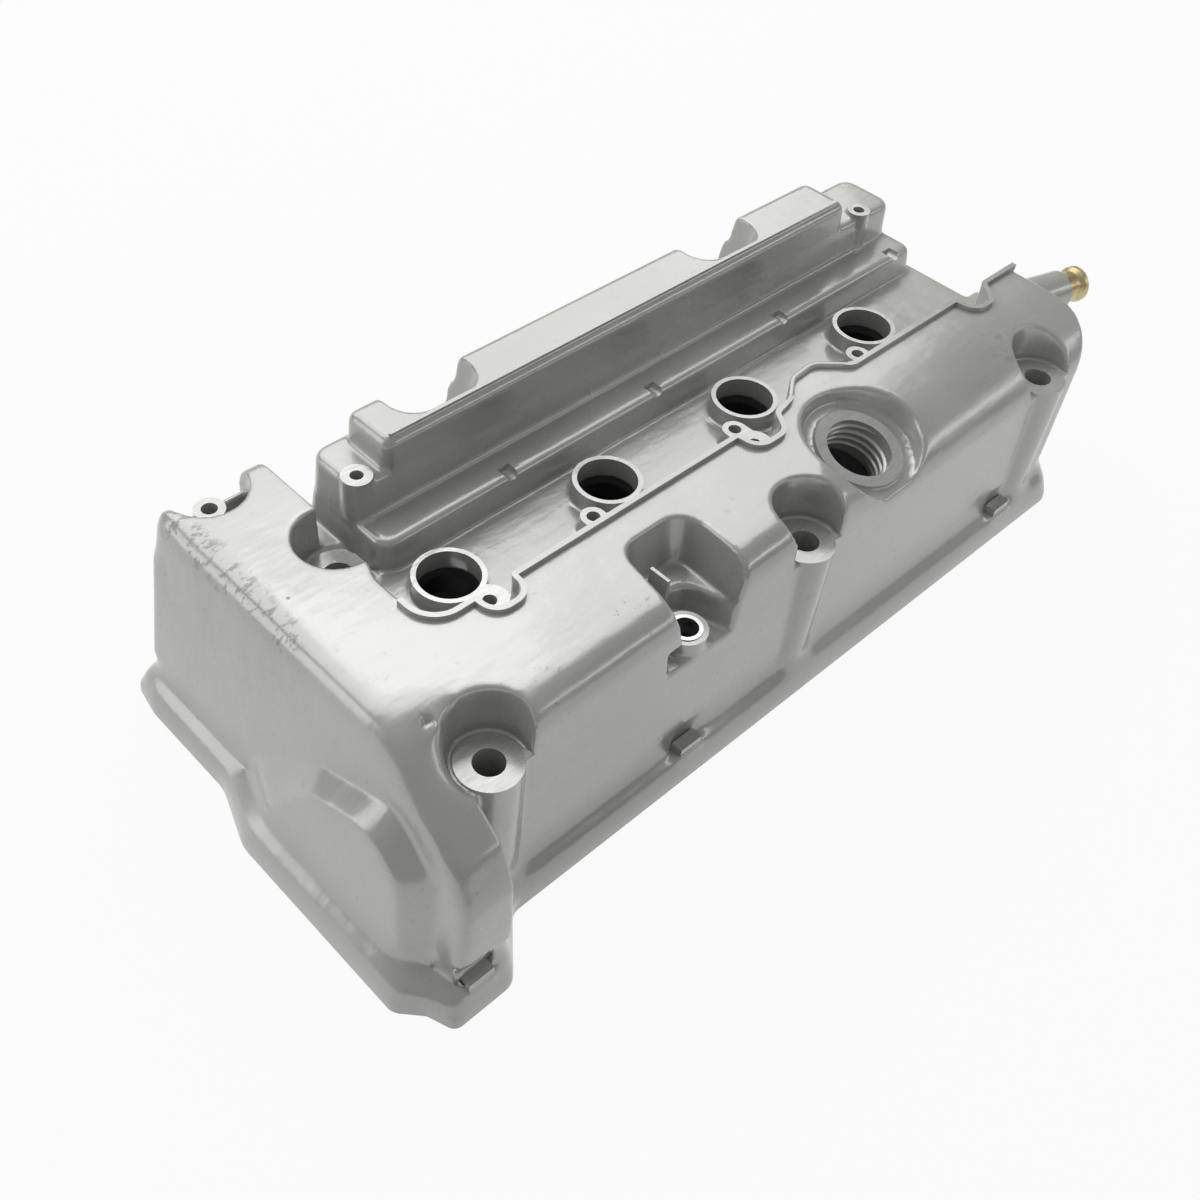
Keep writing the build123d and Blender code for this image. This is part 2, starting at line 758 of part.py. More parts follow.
os.makedirs("parts", exist_ok=True)
export_step(cover_casting.part, "parts/cover_casting.step")
export_step(cover_gasket.part, "parts/cover_gasket.step")
export_step(baffle_plate.part, "parts/baffle_plate.step")
export_step(baffle_screws.part, "parts/baffle_screws.step")
export_step(vent_sleeve.part, "parts/vent_sleeve.step")
export_step(breather_nipple.part, "parts/breather_nipple.step")
for tube_seal in tube_seals:
    export_step(tube_seal.part, "parts/" + tube_seal.part.label + ".step")
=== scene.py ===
import json
from math import cos, pi, radians, sin

import bmesh
import bpy
import numpy as np
from mathutils import Euler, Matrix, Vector
from mathutils.kdtree import KDTree


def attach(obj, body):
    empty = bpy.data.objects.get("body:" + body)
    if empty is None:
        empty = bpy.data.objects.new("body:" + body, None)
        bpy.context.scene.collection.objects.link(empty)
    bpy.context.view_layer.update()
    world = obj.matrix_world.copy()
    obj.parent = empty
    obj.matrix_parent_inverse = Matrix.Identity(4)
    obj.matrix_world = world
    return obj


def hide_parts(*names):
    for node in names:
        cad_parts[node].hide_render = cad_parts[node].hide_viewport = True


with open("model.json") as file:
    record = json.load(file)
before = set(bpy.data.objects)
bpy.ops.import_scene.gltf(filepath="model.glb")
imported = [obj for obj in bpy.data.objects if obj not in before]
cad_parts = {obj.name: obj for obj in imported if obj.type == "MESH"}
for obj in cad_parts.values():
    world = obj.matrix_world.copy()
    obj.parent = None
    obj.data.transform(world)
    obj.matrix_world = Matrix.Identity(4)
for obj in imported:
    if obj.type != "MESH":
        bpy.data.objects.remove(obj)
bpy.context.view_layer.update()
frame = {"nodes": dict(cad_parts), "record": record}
nodes = frame["nodes"]
MM = 0.001

# The first coil tube's place in the frame, in millimetres
TUBE_X, TUBE_Y = -152.942, 6.65

# Heights above the gasket plane and plan places, in millimetres, as the casting has them
SEAT, RIM, DECK, TOWER, FLANGE = 86.0, 95.0, 108.5, 134.0, 15.0
BOLTS = [(-47.0, -78.3), (141.0, -78.3), (329.0, -78.3), (-30.0, 37.0), (44.0, 74.0), (232.0, 74.0)]
TUBES = [(0.0, 0.0), (94.0, 0.0), (188.0, 0.0), (282.0, 0.0)]
COIL_BOLTS = [(71.9, -13.2), (165.9, -13.2), (259.9, -13.2)]
PADS = [(3.5, -21.7), (166.0, -25.5), (334.5, -26.5)]
POSTS = [(-8.7, 49.7, 7.0, 121.0), (329.0, 47.5, 6.0, 122.0), (-58.8, 86.4, 7.0, 105.0)]
FILLER, FILLER_TILT, FILLER_BORE = (200.5, -60.1, 96.0), radians(15.3), 16.3
VENT = (66.2, -76.6, 80.0)
FIN = (63.4, -60.5)
TABS = [(-82.5, -121.3), (64.0, -97.3), (310.0, -97.3)]
NOTCHES = [(58.5 + 94.0 * i, 27.0) for i in range(4)]

# A small crease of the skin beside the bay's pocket, and the radius over which it is laid smooth
CREASE, CREASE_RADIUS = (-62.3, -61.0, 104.3), 2.3

# The skin's mesh: corners closer than the weld are one, and the cells are about 1 mm wide
WELD, OCTREE_DEPTH, SKIN_TRIANGLES = 2e-6, 9, 195000

# Smoothing of the skin: the distances in millimetres from a kept edge at which it starts and is
# full, and the rounds for all of the skin and for its large soft blends
SMOOTH_FROM, SMOOTH_FULL, CAST_ROUNDS, SOFT_ROUNDS = 1.2, 3.2, 9, 150


def place(x, y, z):
    """A point in metres from plan millimetres measured at the first coil tube."""
    return Vector(((x + TUBE_X) * MM, (y + TUBE_Y) * MM, z * MM))


# Cast surface: the casting's skin is remeshed and relaxed, except along its machined edges

def near(points, centre, radius, low, high):
    """True where a point is within a radius of an upright axis and between two heights."""
    away = np.hypot(points[:, 0] - centre[0], points[:, 1] - centre[1])
    return (away < radius) & (points[:, 2] > low) & (points[:, 2] < high)


def from_filler(points):
    """Each point's distance from the filler's axis, and its height above the filler's ring."""
    dy = points[:, 1] - FILLER[1]
    dz = points[:, 2] - FILLER[2]
    up = -sin(FILLER_TILT) * dy + cos(FILLER_TILT) * dz
    side = cos(FILLER_TILT) * dy + sin(FILLER_TILT) * dz
    return np.hypot(points[:, 0] - FILLER[0], side), up


def stays_sharp(points):
    """True where a sharp edge of the casting is machined, or too fine for the skin to carry."""
    x, y, z = points.T
    keep = z < 1.0
    for centre in BOLTS:
        keep |= near(points, centre, 15.0, SEAT - 0.8, SEAT + 0.8)
    for centre in TUBES:
        keep |= near(points, centre, 17.4, RIM - 0.6, RIM + 0.6)
    for centre in COIL_BOLTS + PADS:
        keep |= near(points, centre, 9.6, RIM - 0.6, RIM + 0.6)
    for px, py, radius, top in POSTS:
        keep |= near(points, (px, py), radius + 0.6, top - 0.6, top + 0.6)
    keep |= near(points, VENT, 10.6, VENT[2] - 0.8, VENT[2] + 0.8)
    keep |= near(points, FIN, 7.0, 92.0, 103.0)
    for tx, edge in TABS:
        beside = (abs(x - tx) < 7.2) & (y > edge + 2.5) & (y < edge + 10.5)
        keep |= beside & (z > FLANGE - 3.5) & (z < 20.0)
    for centre in NOTCHES:
        keep |= near(points, centre, 5.6, 96.0, 101.5)
    out, up = from_filler(points)
    keep |= (out < 22.8) & (abs(up) < 0.6)
    keep |= (z > TOWER + 0.2)
    keep |= (x > 374.0) & (z > 74.0) & (y < -25.0)
    return keep


def sharp_samples(source):
    """Points along the casting's sharp edges that stay as they are, and along the bead's edges."""
    made = bmesh.new()
    made.from_mesh(source.data)
    bmesh.ops.remove_doubles(made, verts=made.verts, dist=WELD)
    samples = []
    for edge in made.edges:
        if len(edge.link_faces) != 2 or edge.calc_face_angle(0.0) < radians(28):
            continue
        a, b = (np.array(v.co) / MM - (TUBE_X, TUBE_Y, 0.0) for v in edge.verts)
        count = max(2, int(np.linalg.norm(b - a) / 0.4) + 1)
        samples.append(a + (b - a) * np.linspace(0, 1, count)[:, None])
    made.free()
    samples = np.concatenate(samples)
    on_bead = (samples[:, 2] > DECK + 2.0) & (samples[:, 1] < 12.0) & (samples[:, 0] > -40.0)
    bead = KDTree(int(on_bead.sum()))
    for index, point in enumerate(samples[on_bead]):
        bead.insert((point[0], point[1], 0.0), index)
    bead.balance()
    base = (abs(samples[:, 2] - DECK) < 0.3) & (samples[:, 1] < 12.0)
    for index in np.flatnonzero(base):
        point = samples[index]
        base[index] = bead.find((point[0], point[1], 0.0))[2] < 1.2
    return samples[stays_sharp(samples) | on_bead | base]


def relax(points, edges, weight, rounds):
    """Laplacian smoothing of a vertex array, under a weight for each vertex."""
    moved = np.flatnonzero(weight > 0)
    slot = np.full(len(points), -1)
    slot[moved] = np.arange(len(moved))
    ends = np.concatenate([edges, edges[:, ::-1]])
    ends = ends[slot[ends[:, 0]] >= 0]
    target, source = slot[ends[:, 0]], ends[:, 1]
    count = np.maximum(np.bincount(target, minlength=len(moved)), 1)[:, None]
    pull = 0.5 * weight[moved][:, None]
    for step in range(rounds):
        total = np.stack([np.bincount(target, points[source, axis], len(moved)) for axis in range(3)], axis=1)
        points[moved] += pull * (total / count - points[moved])
    return points


def soft_zone(points):
    """How much further the large soft blends go: the flange's slope, the end face and its crest."""
    x, y, z = points.T
    foot = np.clip((z - 4.0) / 3.0, 0, 1) * np.clip((27.0 - z) / 5.0, 0, 1)
    end = np.clip((-58.0 - x) / 10.0, 0, 1) * np.clip((z - 20.0) / 6.0, 0, 1)
    end *= 0.05 + 0.95 * np.clip((z - 84.0) / 10.0, 0, 1)
    seam = np.clip((15.0 - np.hypot(x + 62.0, y + 57.0)) / 8.0, 0, 1) * np.clip((z - 90.0) / 5.0, 0, 1)
    corner = np.hypot(x + 56.0, y - 92.0)
    return np.maximum(np.maximum(foot, seam), end * np.clip((corner - 20.0) / 6.0, 0, 1))


def heal(points, centre, radius):
    """Lay the points of a small crease onto a smooth surface through the points around it."""
    x, y, rise = (points - centre).T
    away = np.hypot(x, y)
    outer = abs(rise) < 4.0
    terms = np.stack([np.ones_like(x), x, y, x * x, x * y, y * y], axis=1)
    ring = outer & (away > radius) & (away < 2 * radius)
    surface = np.linalg.lstsq(terms[ring], rise[ring], rcond=None)[0]
    inside = outer & (away < 1.5 * radius)
    share = np.clip((1.5 * radius - away[inside]) / (0.5 * radius), 0, 1)
    points[inside, 2] += share * (terms[inside] @ surface - rise[inside])
    return points


def gap_to(points, samples, limit):
    """Each point's distance from the nearest sample, where that is less than a limit."""
    tree = KDTree(len(samples))
    for index, point in enumerate(samples):
        tree.insert(point, index)
    tree.balance()
    offset = samples.min(axis=0) - 2 * limit
    span = 4096
    cells = np.floor((samples - offset) / limit).astype(np.int64)
    steps = np.array([(i, j, k) for i in (-1, 0, 1) for j in (-1, 0, 1) for k in (-1, 0, 1)])
    cells = (cells[:, None, :] + steps[None]).reshape(-1, 3)
    codes = np.unique((cells[:, 0] * span + cells[:, 1]) * span + cells[:, 2])
    own = np.floor((points - offset) / limit).astype(np.int64)
    close = np.isin((own[:, 0] * span + own[:, 1]) * span + own[:, 2], codes)
    gap = np.full(len(points), limit)
    for index in np.flatnonzero(close):
        gap[index] = min(limit, tree.find(points[index])[2])
    return gap


def cast_skin(source, depth, target):
    """A remeshed copy of a casting whose edges and corners are blended as a die leaves them."""
    skin = bpy.data.objects.new("casting_skin", source.data.copy())
    bpy.context.scene.collection.objects.link(skin)
    weld = skin.modifiers.new("weld", "WELD")
    weld.merge_threshold = WELD
    remesh = skin.modifiers.new("remesh", "REMESH")
    remesh.mode = "SHARP"
    remesh.octree_depth = depth
    remesh.scale = 0.99
    remesh.sharpness = 1.0
    remesh.use_remove_disconnected = True
    remesh.threshold = 0.1
    mesh = bpy.data.meshes.new_from_object(skin.evaluated_get(bpy.context.evaluated_depsgraph_get()))
    skin.modifiers.clear()
    skin.data = mesh
    points = np.empty(len(mesh.vertices) * 3)
    mesh.vertices.foreach_get("co", points)
    points = points.reshape(-1, 3) / MM - (TUBE_X, TUBE_Y, 0.0)
    edges = np.empty(len(mesh.edges) * 2, np.int32)
    mesh.edges.foreach_get("vertices", edges)
    edges = edges.reshape(-1, 2)
    gap = gap_to(points, sharp_samples(source), 4.0)
    free = np.clip((gap - SMOOTH_FROM) / (SMOOTH_FULL - SMOOTH_FROM), 0.0, 1.0)
    points = relax(points, edges, free, CAST_ROUNDS)
    points = relax(points, edges, free * soft_zone(points), SOFT_ROUNDS)
    points = heal(points, CREASE, CREASE_RADIUS)
    mesh.vertices.foreach_set("co", ((points + (TUBE_X, TUBE_Y, 0.0)) * MM).ravel())
    mesh.update()
    triangles = 2 * len(mesh.polygons)
    thin = skin.modifiers.new("thin", "DECIMATE")
    thin.ratio = min(1.0, target / triangles)
    mesh = bpy.data.meshes.new_from_object(skin.evaluated_get(bpy.context.evaluated_depsgraph_get()))
    skin.modifiers.clear()
    skin.data = mesh
    mesh.shade_smooth()
    mesh.set_sharp_from_angle(angle=radians(42))
    print("skin triangles", sum(len(face.vertices) - 2 for face in mesh.polygons), "from", triangles)
    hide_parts(source.name)
    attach(skin, "root")
    return skin


skin = cast_skin(nodes["cover_casting"], OCTREE_DEPTH, SKIN_TRIANGLES)


# Pieces drawn beside the skin, which wear the casting's paint

def cast_piece(name, made, sharp=None):
    """An object from a finished bmesh, with edges past an angle kept sharp where one is given."""
    mesh = bpy.data.meshes.new(name)
    made.to_mesh(mesh)
    made.free()
    mesh.shade_smooth()
    if sharp is not None:
        mesh.set_sharp_from_angle(angle=sharp)
    piece = bpy.data.objects.new(name, mesh)
    bpy.context.scene.collection.objects.link(piece)
    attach(piece, "root")
    return piece


def skin_rings(made, rings):
    """Faces between each ring of vertices and the next, with both ends closed."""
    for a, b in zip(rings, rings[1:]):
        for k in range(len(a)):
            j = (k + 1) % len(a)
            made.faces.new((a[k], b[k], b[j], a[j]))
    made.faces.new(rings[0])
    made.faces.new(rings[-1][::-1])
    bmesh.ops.recalc_face_normals(made, faces=made.faces)


# Thread of the oil filler: coarse turns that stand inward from the bore

def filler_point(radius, angle, up):
    """A point in metres at a radius, angle and height in the filler's own frame."""
    side = radius * sin(angle)
    y = FILLER[1] + cos(FILLER_TILT) * side - sin(FILLER_TILT) * up
    z = FILLER[2] + sin(FILLER_TILT) * side + cos(FILLER_TILT) * up
    return place(FILLER[0] + radius * cos(angle), y, z)


def filler_thread(pitch, turns, start, crest):
    """A helical ridge of rounded section, tapering out at both ends."""
    section = [(0.35, -0.30), (0.0, -0.26), (-0.75, -0.14), (-1.0, 0.0), (-0.75, 0.14), (0.0, 0.26),
               (0.35, 0.30)]
    per_turn = 72
    taper = 14
    steps = per_turn * turns
    made = bmesh.new()
    rings = []
    for step in range(steps + 1):
        angle = 2 * pi * step / per_turn
        fade = min(1.0, step / taper, (steps - step) / taper)
        ring = []
        for out, rise in section:
            depth = out * crest * fade if out < 0 else out
            up = start - pitch * step / per_turn + rise * pitch
            ring.append(made.verts.new(filler_point(FILLER_BORE + depth, angle, up)))
        rings.append(ring)
    skin_rings(made, rings)
    return cast_piece("filler_thread", made)


thread = filler_thread(pitch=4.2, turns=4, start=-3.2, crest=1.5)


# Flat tips beside the near bolt seats, where their pockets open through the near wall

def seat_tips():
    """Small flat corners at seat level, each from the seat's round edge out to a point."""
    made = bmesh.new()
    for x, y in BOLTS[:3]:
        plan = [(x + 16.0, y - 8.6)]
        plan += [(x + 13.9 * cos(radians(a)), y + 13.9 * sin(radians(a))) for a in range(12, -39, -5)]
        tops = [made.verts.new(place(a, b, SEAT - 0.05)) for a, b in plan]
        feet = [made.verts.new(place(a, b, SEAT - 3.0)) for a, b in plan]
        made.faces.new(tops)
        made.faces.new(feet[::-1])
        for k in range(len(plan)):
            j = (k + 1) % len(plan)
            made.faces.new((tops[k], feet[k], feet[j], tops[j]))
    bmesh.ops.recalc_face_normals(made, faces=made.faces)
    bmesh.ops.bevel(made, geom=[e for e in made.edges if e.calc_face_angle(0.0) > radians(40)],
                    offset=0.35 * MM, segments=2, affect="EDGES", clamp_overlap=True)
    return cast_piece("seat_tips", made, radians(50))


tips = seat_tips()


# The bead's length between the second and third loops, where it follows the filler's bowl

def rounded(points, radii):
    """An open path through plan points, with each inner corner turned at its radius."""
    path = [np.array(points[0])]
    for before, corner, after, radius in zip(points, points[1:], points[2:], radii):
        corner = np.array(corner)
        back = np.array(before) - corner
        ahead = np.array(after) - corner
        back /= np.linalg.norm(back)
        ahead /= np.linalg.norm(ahead)
        half = np.arccos(np.clip(back @ ahead, -1, 1)) / 2
        middle = (back + ahead) / np.linalg.norm(back + ahead)
        centre = corner + middle * radius / sin(half)
        first = corner + back * radius / np.tan(half) - centre
        last = corner + ahead * radius / np.tan(half) - centre
        for share in np.linspace(0, 1, 9):
            spoke = first * (1 - share) + last * share
            path.append(centre + spoke * radius / np.linalg.norm(spoke))
    path.append(np.array(points[-1]))
    return path


def bead_length():
    """A raised bead with a rounded top, along the outside of the well's edge."""
    corners = [(181.0, -25.83), (187.0, -24.5), (200.0, -15.0), (217.0, -13.5), (232.5, -26.5),
               (236.0, -26.5)]
    path = rounded(corners, [10.0, 12.0, 12.0, 5.0])
    section = [(0.0, -0.8), (0.0, 1.9), (0.25, 2.25), (0.7, 2.4), (1.9, 2.4), (2.35, 2.25), (2.6, 1.9),
               (2.6, -0.8)]
    made = bmesh.new()
    rings = []
    for k, point in enumerate(path):
        run = path[min(k + 1, len(path) - 1)] - path[max(k - 1, 0)]
        run /= np.linalg.norm(run)
        ring = []
        for out, rise in section:
            ring.append(made.verts.new(place(point[0] + run[1] * out, point[1] - run[0] * out, DECK + rise)))
        rings.append(ring)
    skin_rings(made, rings)
    return cast_piece("filler_bead", made, radians(60))


bead = bead_length()


# The back of the relief behind the bay's pry tab, which closes the wall there

def relief_back():
    """A thin plate with rounded edges, set in the wall behind the relief."""
    centre = (TABS[0][0], -111.6, 20.5)
    size = (18.0, 2.6, 11.0)
    made = bmesh.new()
    bmesh.ops.create_cube(made, size=1.0)
    for vert in made.verts:
        vert.co = place(*(c + s * v for c, s, v in zip(centre, size, vert.co)))
    bmesh.ops.bevel(made, geom=made.edges[:], offset=0.4 * MM, segments=2, affect="EDGES")
    return cast_piece("relief_back", made)


back = relief_back()


# Node helpers

class Paint:
    """A node material with short calls for the nodes that it is made of."""

    def __init__(self, name):
        self.material = bpy.data.materials.new(name)
        self.material.use_nodes = True
        self.tree = self.material.node_tree
        self.shader = self.tree.nodes["Principled BSDF"]
        self.position = self.node("ShaderNodeTexCoord").outputs["Object"]

    def node(self, kind, **values):
        made = self.tree.nodes.new(kind)
        for key, value in values.items():
            setattr(made, key, value)
        return made

    def link(self, source, target):
        self.tree.links.new(source, target)

    def noise(self, scale, detail=3.0, roughness=0.5, vector=None):
        made = self.node("ShaderNodeTexNoise")
        made.inputs["Scale"].default_value = scale
        made.inputs["Detail"].default_value = detail
        made.inputs["Roughness"].default_value = roughness
        self.link(vector or self.position, made.inputs["Vector"])
        return made.outputs["Fac"]

    def span(self, value, from_low, from_high, to_low=0.0, to_high=1.0):
        made = self.node("ShaderNodeMapRange", interpolation_type="SMOOTHSTEP")
        names = ("From Min", "From Max", "To Min", "To Max")
        for name, number in zip(names, (from_low, from_high, to_low, to_high)):
            made.inputs[name].default_value = number
        self.link(value, made.inputs["Value"])
        return made.outputs["Result"]

    def math(self, operation, a, b=None, c=None):
        made = self.node("ShaderNodeMath", operation=operation)
        for socket, value in zip(made.inputs, (a, b, c)):
            if isinstance(value, (int, float)):
                socket.default_value = value
            elif value is not None:
                self.link(value, socket)
        return made.outputs[0]

    def mix(self, factor, a, b):
        made = self.node("ShaderNodeMix", data_type="RGBA")
        self.link(factor, made.inputs["Factor"])
        for name, value in (("A", a), ("B", b)):
            socket = [s for s in made.inputs if s.name == name and s.type == "RGBA"][0]
            if isinstance(value, tuple):
                socket.default_value = value + (1.0,)
            else:
                self.link(value, socket)
        return [s for s in made.outputs if s.type == "RGBA"][0]

    def bump(self, height, distance):
        made = self.node("ShaderNodeBump")
        made.inputs["Distance"].default_value = distance
        self.link(height, made.inputs["Height"])
        return made.outputs["Normal"]

    def stretched(self, turn, scale):
        """The position turned about the upright axis and scaled, for streaks and strokes."""
        made = self.node("ShaderNodeMapping")
        made.inputs["Rotation"].default_value = (0.0, 0.0, turn)
        made.inputs["Scale"].default_value = scale
        self.link(self.position, made.inputs["Vector"])
        return made.outputs["Vector"]

    def ball(self, centre, radius, soft):
        """One inside a ball round a point in metres, falling to nothing at its radius."""
        made = self.node("ShaderNodeVectorMath", operation="DISTANCE")
        self.link(self.position, made.inputs[0])
        made.inputs[1].default_value = centre
        return self.span(made.outputs["Value"], radius * (1.0 - soft), radius, 1.0, 0.0)

    def band(self, value, middle, half, soft):
        """One where a value is within a half width of a middle, with soft sides."""
        away = self.math("ABSOLUTE", self.math("SUBTRACT", value, middle))
        return self.span(away, half, half + soft, 1.0, 0.0)

    def largest(self, masks):
        total = masks[0]
        for mask in masks[1:]:
            total = self.math("MAXIMUM", total, mask)
        return total

    def set(self, **values):
        for name, value in values.items():
            socket = self.shader.inputs[name.replace("_", " ")]
            if isinstance(value, (int, float, tuple)):
                socket.default_value = value
            else:
                self.link(value, socket)


# Materials

def machined_faces(p):
    """A mask of the faces that are cut bright: bolt seats, tube rims, boss and post tops."""
    height = p.node("ShaderNodeSeparateXYZ")
    p.link(p.position, height.inputs[0])
    z = height.outputs["Z"]
    flat = p.node("ShaderNodeVectorMath", operation="MULTIPLY")
    p.link(p.position, flat.inputs[0])
    flat.inputs[1].default_value = (1.0, 1.0, 0.0)
    level_masks = {}
    spots = [(x, y, 14.2, SEAT) for x, y in BOLTS] + [(x, y, 16.6, RIM) for x, y in TUBES]
    spots += [(x, y, 6.3, RIM) for x, y in COIL_BOLTS] + [(x, y, 8.9, RIM) for x, y in PADS]
    spots += [(x, y, radius + 0.2, top) for x, y, radius, top in POSTS]
    spots += [(VENT[0], VENT[1], 10.1, VENT[2])]
    for x, y, radius, level in spots:
        away = p.node("ShaderNodeVectorMath", operation="DISTANCE")
        p.link(flat.outputs["Vector"], away.inputs[0])
        away.inputs[1].default_value = ((x + TUBE_X) * MM, (y + TUBE_Y) * MM, 0.0)
        disc = p.span(away.outputs["Value"], radius * MM, (radius + 0.25) * MM, 1.0, 0.0)
        level_masks.setdefault(level, []).append(disc)
    masks = []
    for level, discs in level_masks.items():
        masks.append(p.math("MULTIPLY", p.largest(discs), p.band(z, level * MM, 0.35 * MM, 0.2 * MM)))
    rim = place(*FILLER)
    lift = p.node("ShaderNodeVectorMath", operation="SUBTRACT")
    p.link(p.position, lift.inputs[0])
    lift.inputs[1].default_value = rim
    up = p.node("ShaderNodeVectorMath", operation="DOT_PRODUCT")
    p.link(lift.outputs["Vector"], up.inputs[0])
    up.inputs[1].default_value = (0.0, -sin(FILLER_TILT), cos(FILLER_TILT))
    level = p.band(up.outputs["Value"], 0.0, 0.35 * MM, 0.2 * MM)
    ring = p.math("MULTIPLY", p.ball(rim, 22.4 * MM, 0.02), level)
    return p.largest(masks + [ring])


def casting_paint():
    """Silver-grey semi-gloss paint over a die casting, with bright cut faces and a little wear."""
    p = Paint("casting_paint")
    cloud = p.noise(9.0, 4.0)
    streak = p.noise(1.0, 3.0, 0.55, p.stretched(radians(24), (16.0, 60.0, 30.0)))
    fleck = p.noise(1500.0, 1.0)
    colour = p.mix(p.span(cloud, 0.35, 0.65), (0.405, 0.408, 0.382), (0.465, 0.468, 0.445))
    colour = p.mix(p.math("MULTIPLY", p.span(fleck, 0.5, 0.7), 0.22), colour, (0.50, 0.50, 0.485))

    # Heights in millimetres: orange peel, the casting's slow waves and streaks along the pull
    relief = p.math("MULTIPLY_ADD", p.noise(330.0, 1.0), 0.05, p.math("MULTIPLY", p.noise(38.0, 2.0), 0.45))
    relief = p.math("MULTIPLY_ADD", streak, 0.6, relief)
    rough = p.span(cloud, 0.3, 0.7, 0.22, 0.31)

    # Cut faces, with the strokes of the cutter
    cut = machined_faces(p)
    tool = p.noise(1.0, 2.0, 0.5, p.stretched(radians(35), (160.0, 2400.0, 160.0)))
    bright = p.mix(p.span(tool, 0.35, 0.65), (0.40, 0.40, 0.39), (0.48, 0.48, 0.47))
    metal = p.math("ADD", p.math("MULTIPLY", cut, 0.15), 0.32)

    # Scuffs along the timing end's crest, pits on the near deck, a smear, dirt and one dark dot
    ridge = p.noise(1.0, 4.0, 0.7, p.stretched(radians(35), (150.0, 300.0, 200.0)))
    along = [place(-76.0 - 0.4 * k, 84.0 - 11.0 * k, DECK) for k in range(8)]
    crest = p.largest([p.ball(point, 12 * MM, 0.55) for point in along])
    scuff = p.math("MULTIPLY", p.span(ridge, 0.53, 0.59), crest)
    pitted = p.largest([p.ball(place(-14.0, -76.0, 98.0), 15 * MM, 0.7),
                        p.ball(place(36.0, -72.0, 101.0), 14 * MM, 0.7)])
    pits = p.math("MULTIPLY", p.span(p.noise(520.0, 2.0), 0.66, 0.72), pitted)
    cloudy = p.span(p.noise(170.0, 4.0), 0.50, 0.66)
    smear = p.math("MULTIPLY", p.ball(place(309.0, -62.0, 106.0), 14 * MM, 0.7), cloudy)
    dirt = p.span(p.noise(230.0, 3.0), 0.665, 0.72)
    dot = p.ball(place(-65.8, 20.8, DECK), 1.1 * MM, 0.4)
    weighed = [p.math("MULTIPLY", mask, share) for mask, share in ((scuff, 0.8), (smear, 0.7), (dirt, 0.22))]
    marks = p.largest([dot, pits] + weighed)
    colour = p.mix(p.math("MULTIPLY", marks, 0.7), colour, (0.17, 0.17, 0.16))
    colour = p.mix(cut, colour, bright)
    rough = p.math("ADD", rough, p.math("MULTIPLY", marks, 0.25))
    relief = p.math("SUBTRACT", relief, p.math("MULTIPLY", pits, 0.5))
    p.set(Base_Color=colour, Metallic=metal, Roughness=rough, Normal=p.bump(relief, MM))
    p.set(Coat_Weight=0.40, Coat_Roughness=0.09)
    return p.material


def rubber():
    """Black moulded rubber."""
    p = Paint("rubber")
    grain = p.noise(900.0, 2.0)
    p.set(Base_Color=p.mix(grain, (0.010, 0.010, 0.010), (0.022, 0.022, 0.022)), Roughness=0.6)
    p.set(Normal=p.bump(grain, 0.00005))
    return p.material


def steel(name, light, dark, roughness):
    """Plain or plated steel with a faint cloudy tone."""
    p = Paint(name)
    tone = p.noise(160.0, 3.0)
    p.set(Base_Color=p.mix(p.span(tone, 0.35, 0.65), dark, light), Metallic=1.0)
    p.set(Roughness=p.span(tone, 0.3, 0.7, roughness, roughness + 0.12))
    p.set(Normal=p.bump(p.noise(900.0, 2.0), 0.00003))
    return p.material


finishes = {
    "painted_casting": casting_paint(),
    "rubber": rubber(),
    "plated_steel": steel("plated_steel", (0.62, 0.55, 0.34), (0.45, 0.34, 0.18), 0.30),
    "sheet_steel": steel("sheet_steel", (0.60, 0.61, 0.62), (0.48, 0.49, 0.50), 0.34),
    "bright_steel": steel("bright_steel", (0.72, 0.73, 0.74), (0.60, 0.61, 0.62), 0.26),
}
for piece in (skin, thread, tips, bead, back):
    piece.data.materials.clear()
    piece.data.materials.append(finishes["painted_casting"])
for part in frame["record"]["subparts"]:
    piece = nodes[part["node"]]
    piece.data.materials.clear()
    piece.data.materials.append(finishes[part["material_slot"]])

# Floor, light and camera

FLOOR_SIZE, FLOOR_DROP = 30, 0.0002
bpy.ops.mesh.primitive_plane_add(size=FLOOR_SIZE)
floor = bpy.context.object
floor.name = "floor"
floor.location.z = -FLOOR_DROP
pale = Paint("pale_floor")
pale.tree.nodes.remove(pale.shader)
surface = pale.tree.nodes["Material Output"].inputs["Surface"]
diffuse = pale.node("ShaderNodeBsdfDiffuse")
diffuse.inputs["Color"].default_value = (0.55, 0.55, 0.55, 1)
glow = pale.node("ShaderNodeEmission")
blend = pale.node("ShaderNodeMixShader")
rays = pale.node("ShaderNodeLightPath")
seen = pale.math("MAXIMUM", rays.outputs["Is Camera Ray"], rays.outputs["Is Glossy Ray"])
spot = pale.node("ShaderNodeSeparateXYZ")
pale.link(pale.position, spot.inputs[0])

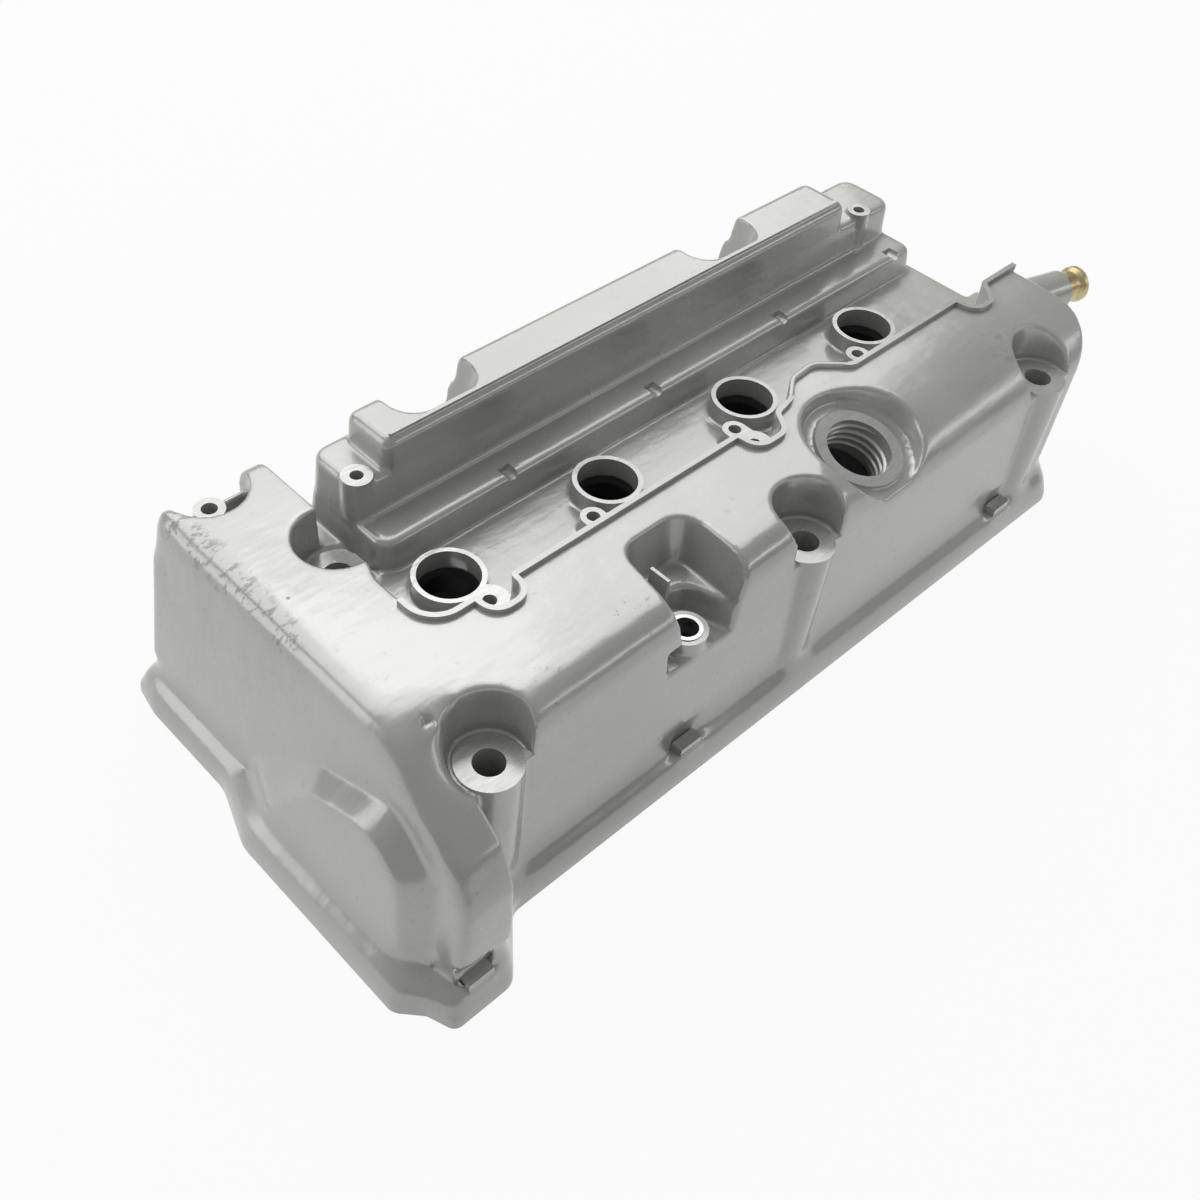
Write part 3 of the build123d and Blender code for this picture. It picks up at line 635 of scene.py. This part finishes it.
# The white stops under the cover, so that its bores look down on a dark floor
under = (("X", 0.205), ("Y", 0.085))
beyond = [pale.span(pale.math("ABSOLUTE", spot.outputs[axis]), half, half + 0.002) for axis, half in under]
outside = pale.math("MAXIMUM", *beyond)
share = pale.math("MULTIPLY", pale.math("MULTIPLY", seen, outside), 0.94)
pale.link(share, blend.inputs[0])
pale.link(diffuse.outputs[0], blend.inputs[1])
pale.link(glow.outputs[0], blend.inputs[2])
pale.link(blend.outputs[0], surface)
floor.data.materials.append(pale.material)

world = bpy.data.worlds.new("studio")
bpy.context.scene.world = world
world.use_nodes = True
tree = world.node_tree
ground = tree.nodes["Background"]
ground.inputs["Color"].default_value = (1, 1, 1, 1)
rays = tree.nodes.new("ShaderNodeLightPath")
sky = tree.nodes.new("ShaderNodeMapRange")
sky.inputs["To Min"].default_value = 0.36
sky.inputs["To Max"].default_value = 1.0
tree.links.new(rays.outputs["Is Camera Ray"], sky.inputs["Value"])
tree.links.new(sky.outputs[0], ground.inputs["Strength"])


def softbox(name, position, size, power):
    """A rectangular area lamp that faces the cover."""
    aim = (0, 0, 0.05)
    lamp = bpy.data.lights.new(name, "AREA")
    lamp.shape = "RECTANGLE"
    lamp.size, lamp.size_y = size
    lamp.energy = power
    lit = bpy.data.objects.new(name, lamp)
    bpy.context.scene.collection.objects.link(lit)
    lit.location = position
    lit.rotation_euler = (Vector(aim) - Vector(position)).to_track_quat("-Z", "Y").to_euler()


softbox("key", (0.40, 1.00, 1.35), (2.4, 1.6), 24)
softbox("window", (0.42, 0.81, 1.33), (0.5, 0.22), 0.9)
softbox("side", (-1.30, 0.85, 0.66), (0.7, 1.2), 5)
softbox("edge", (0.90, -1.00, 0.62), (1.2, 0.14), 1.6)

# The photograph's side, focal length and optical centre, in its own pixels
SIDE, FOCAL, CENTRE_X, CENTRE_Y = 1200, 1382.41, 518.63, 604.56
camera = bpy.data.cameras.new("photo_camera")
camera.sensor_width = 36.0
camera.lens = camera.sensor_width * FOCAL / SIDE
camera.shift_x = (SIDE / 2 - CENTRE_X) / SIDE
camera.shift_y = (CENTRE_Y - SIDE / 2) / SIDE
camera.clip_start = 0.02
view = bpy.data.objects.new("photo_camera", camera)
bpy.context.scene.collection.objects.link(view)
view.location = place(-266.9095, -301.6216, 508.53)
view.rotation_euler = Euler((radians(43.0673), radians(-2.9961), radians(-42.5625)), "XYZ")
bpy.context.scene.camera = view
bpy.context.scene.view_settings.view_transform = "Standard"
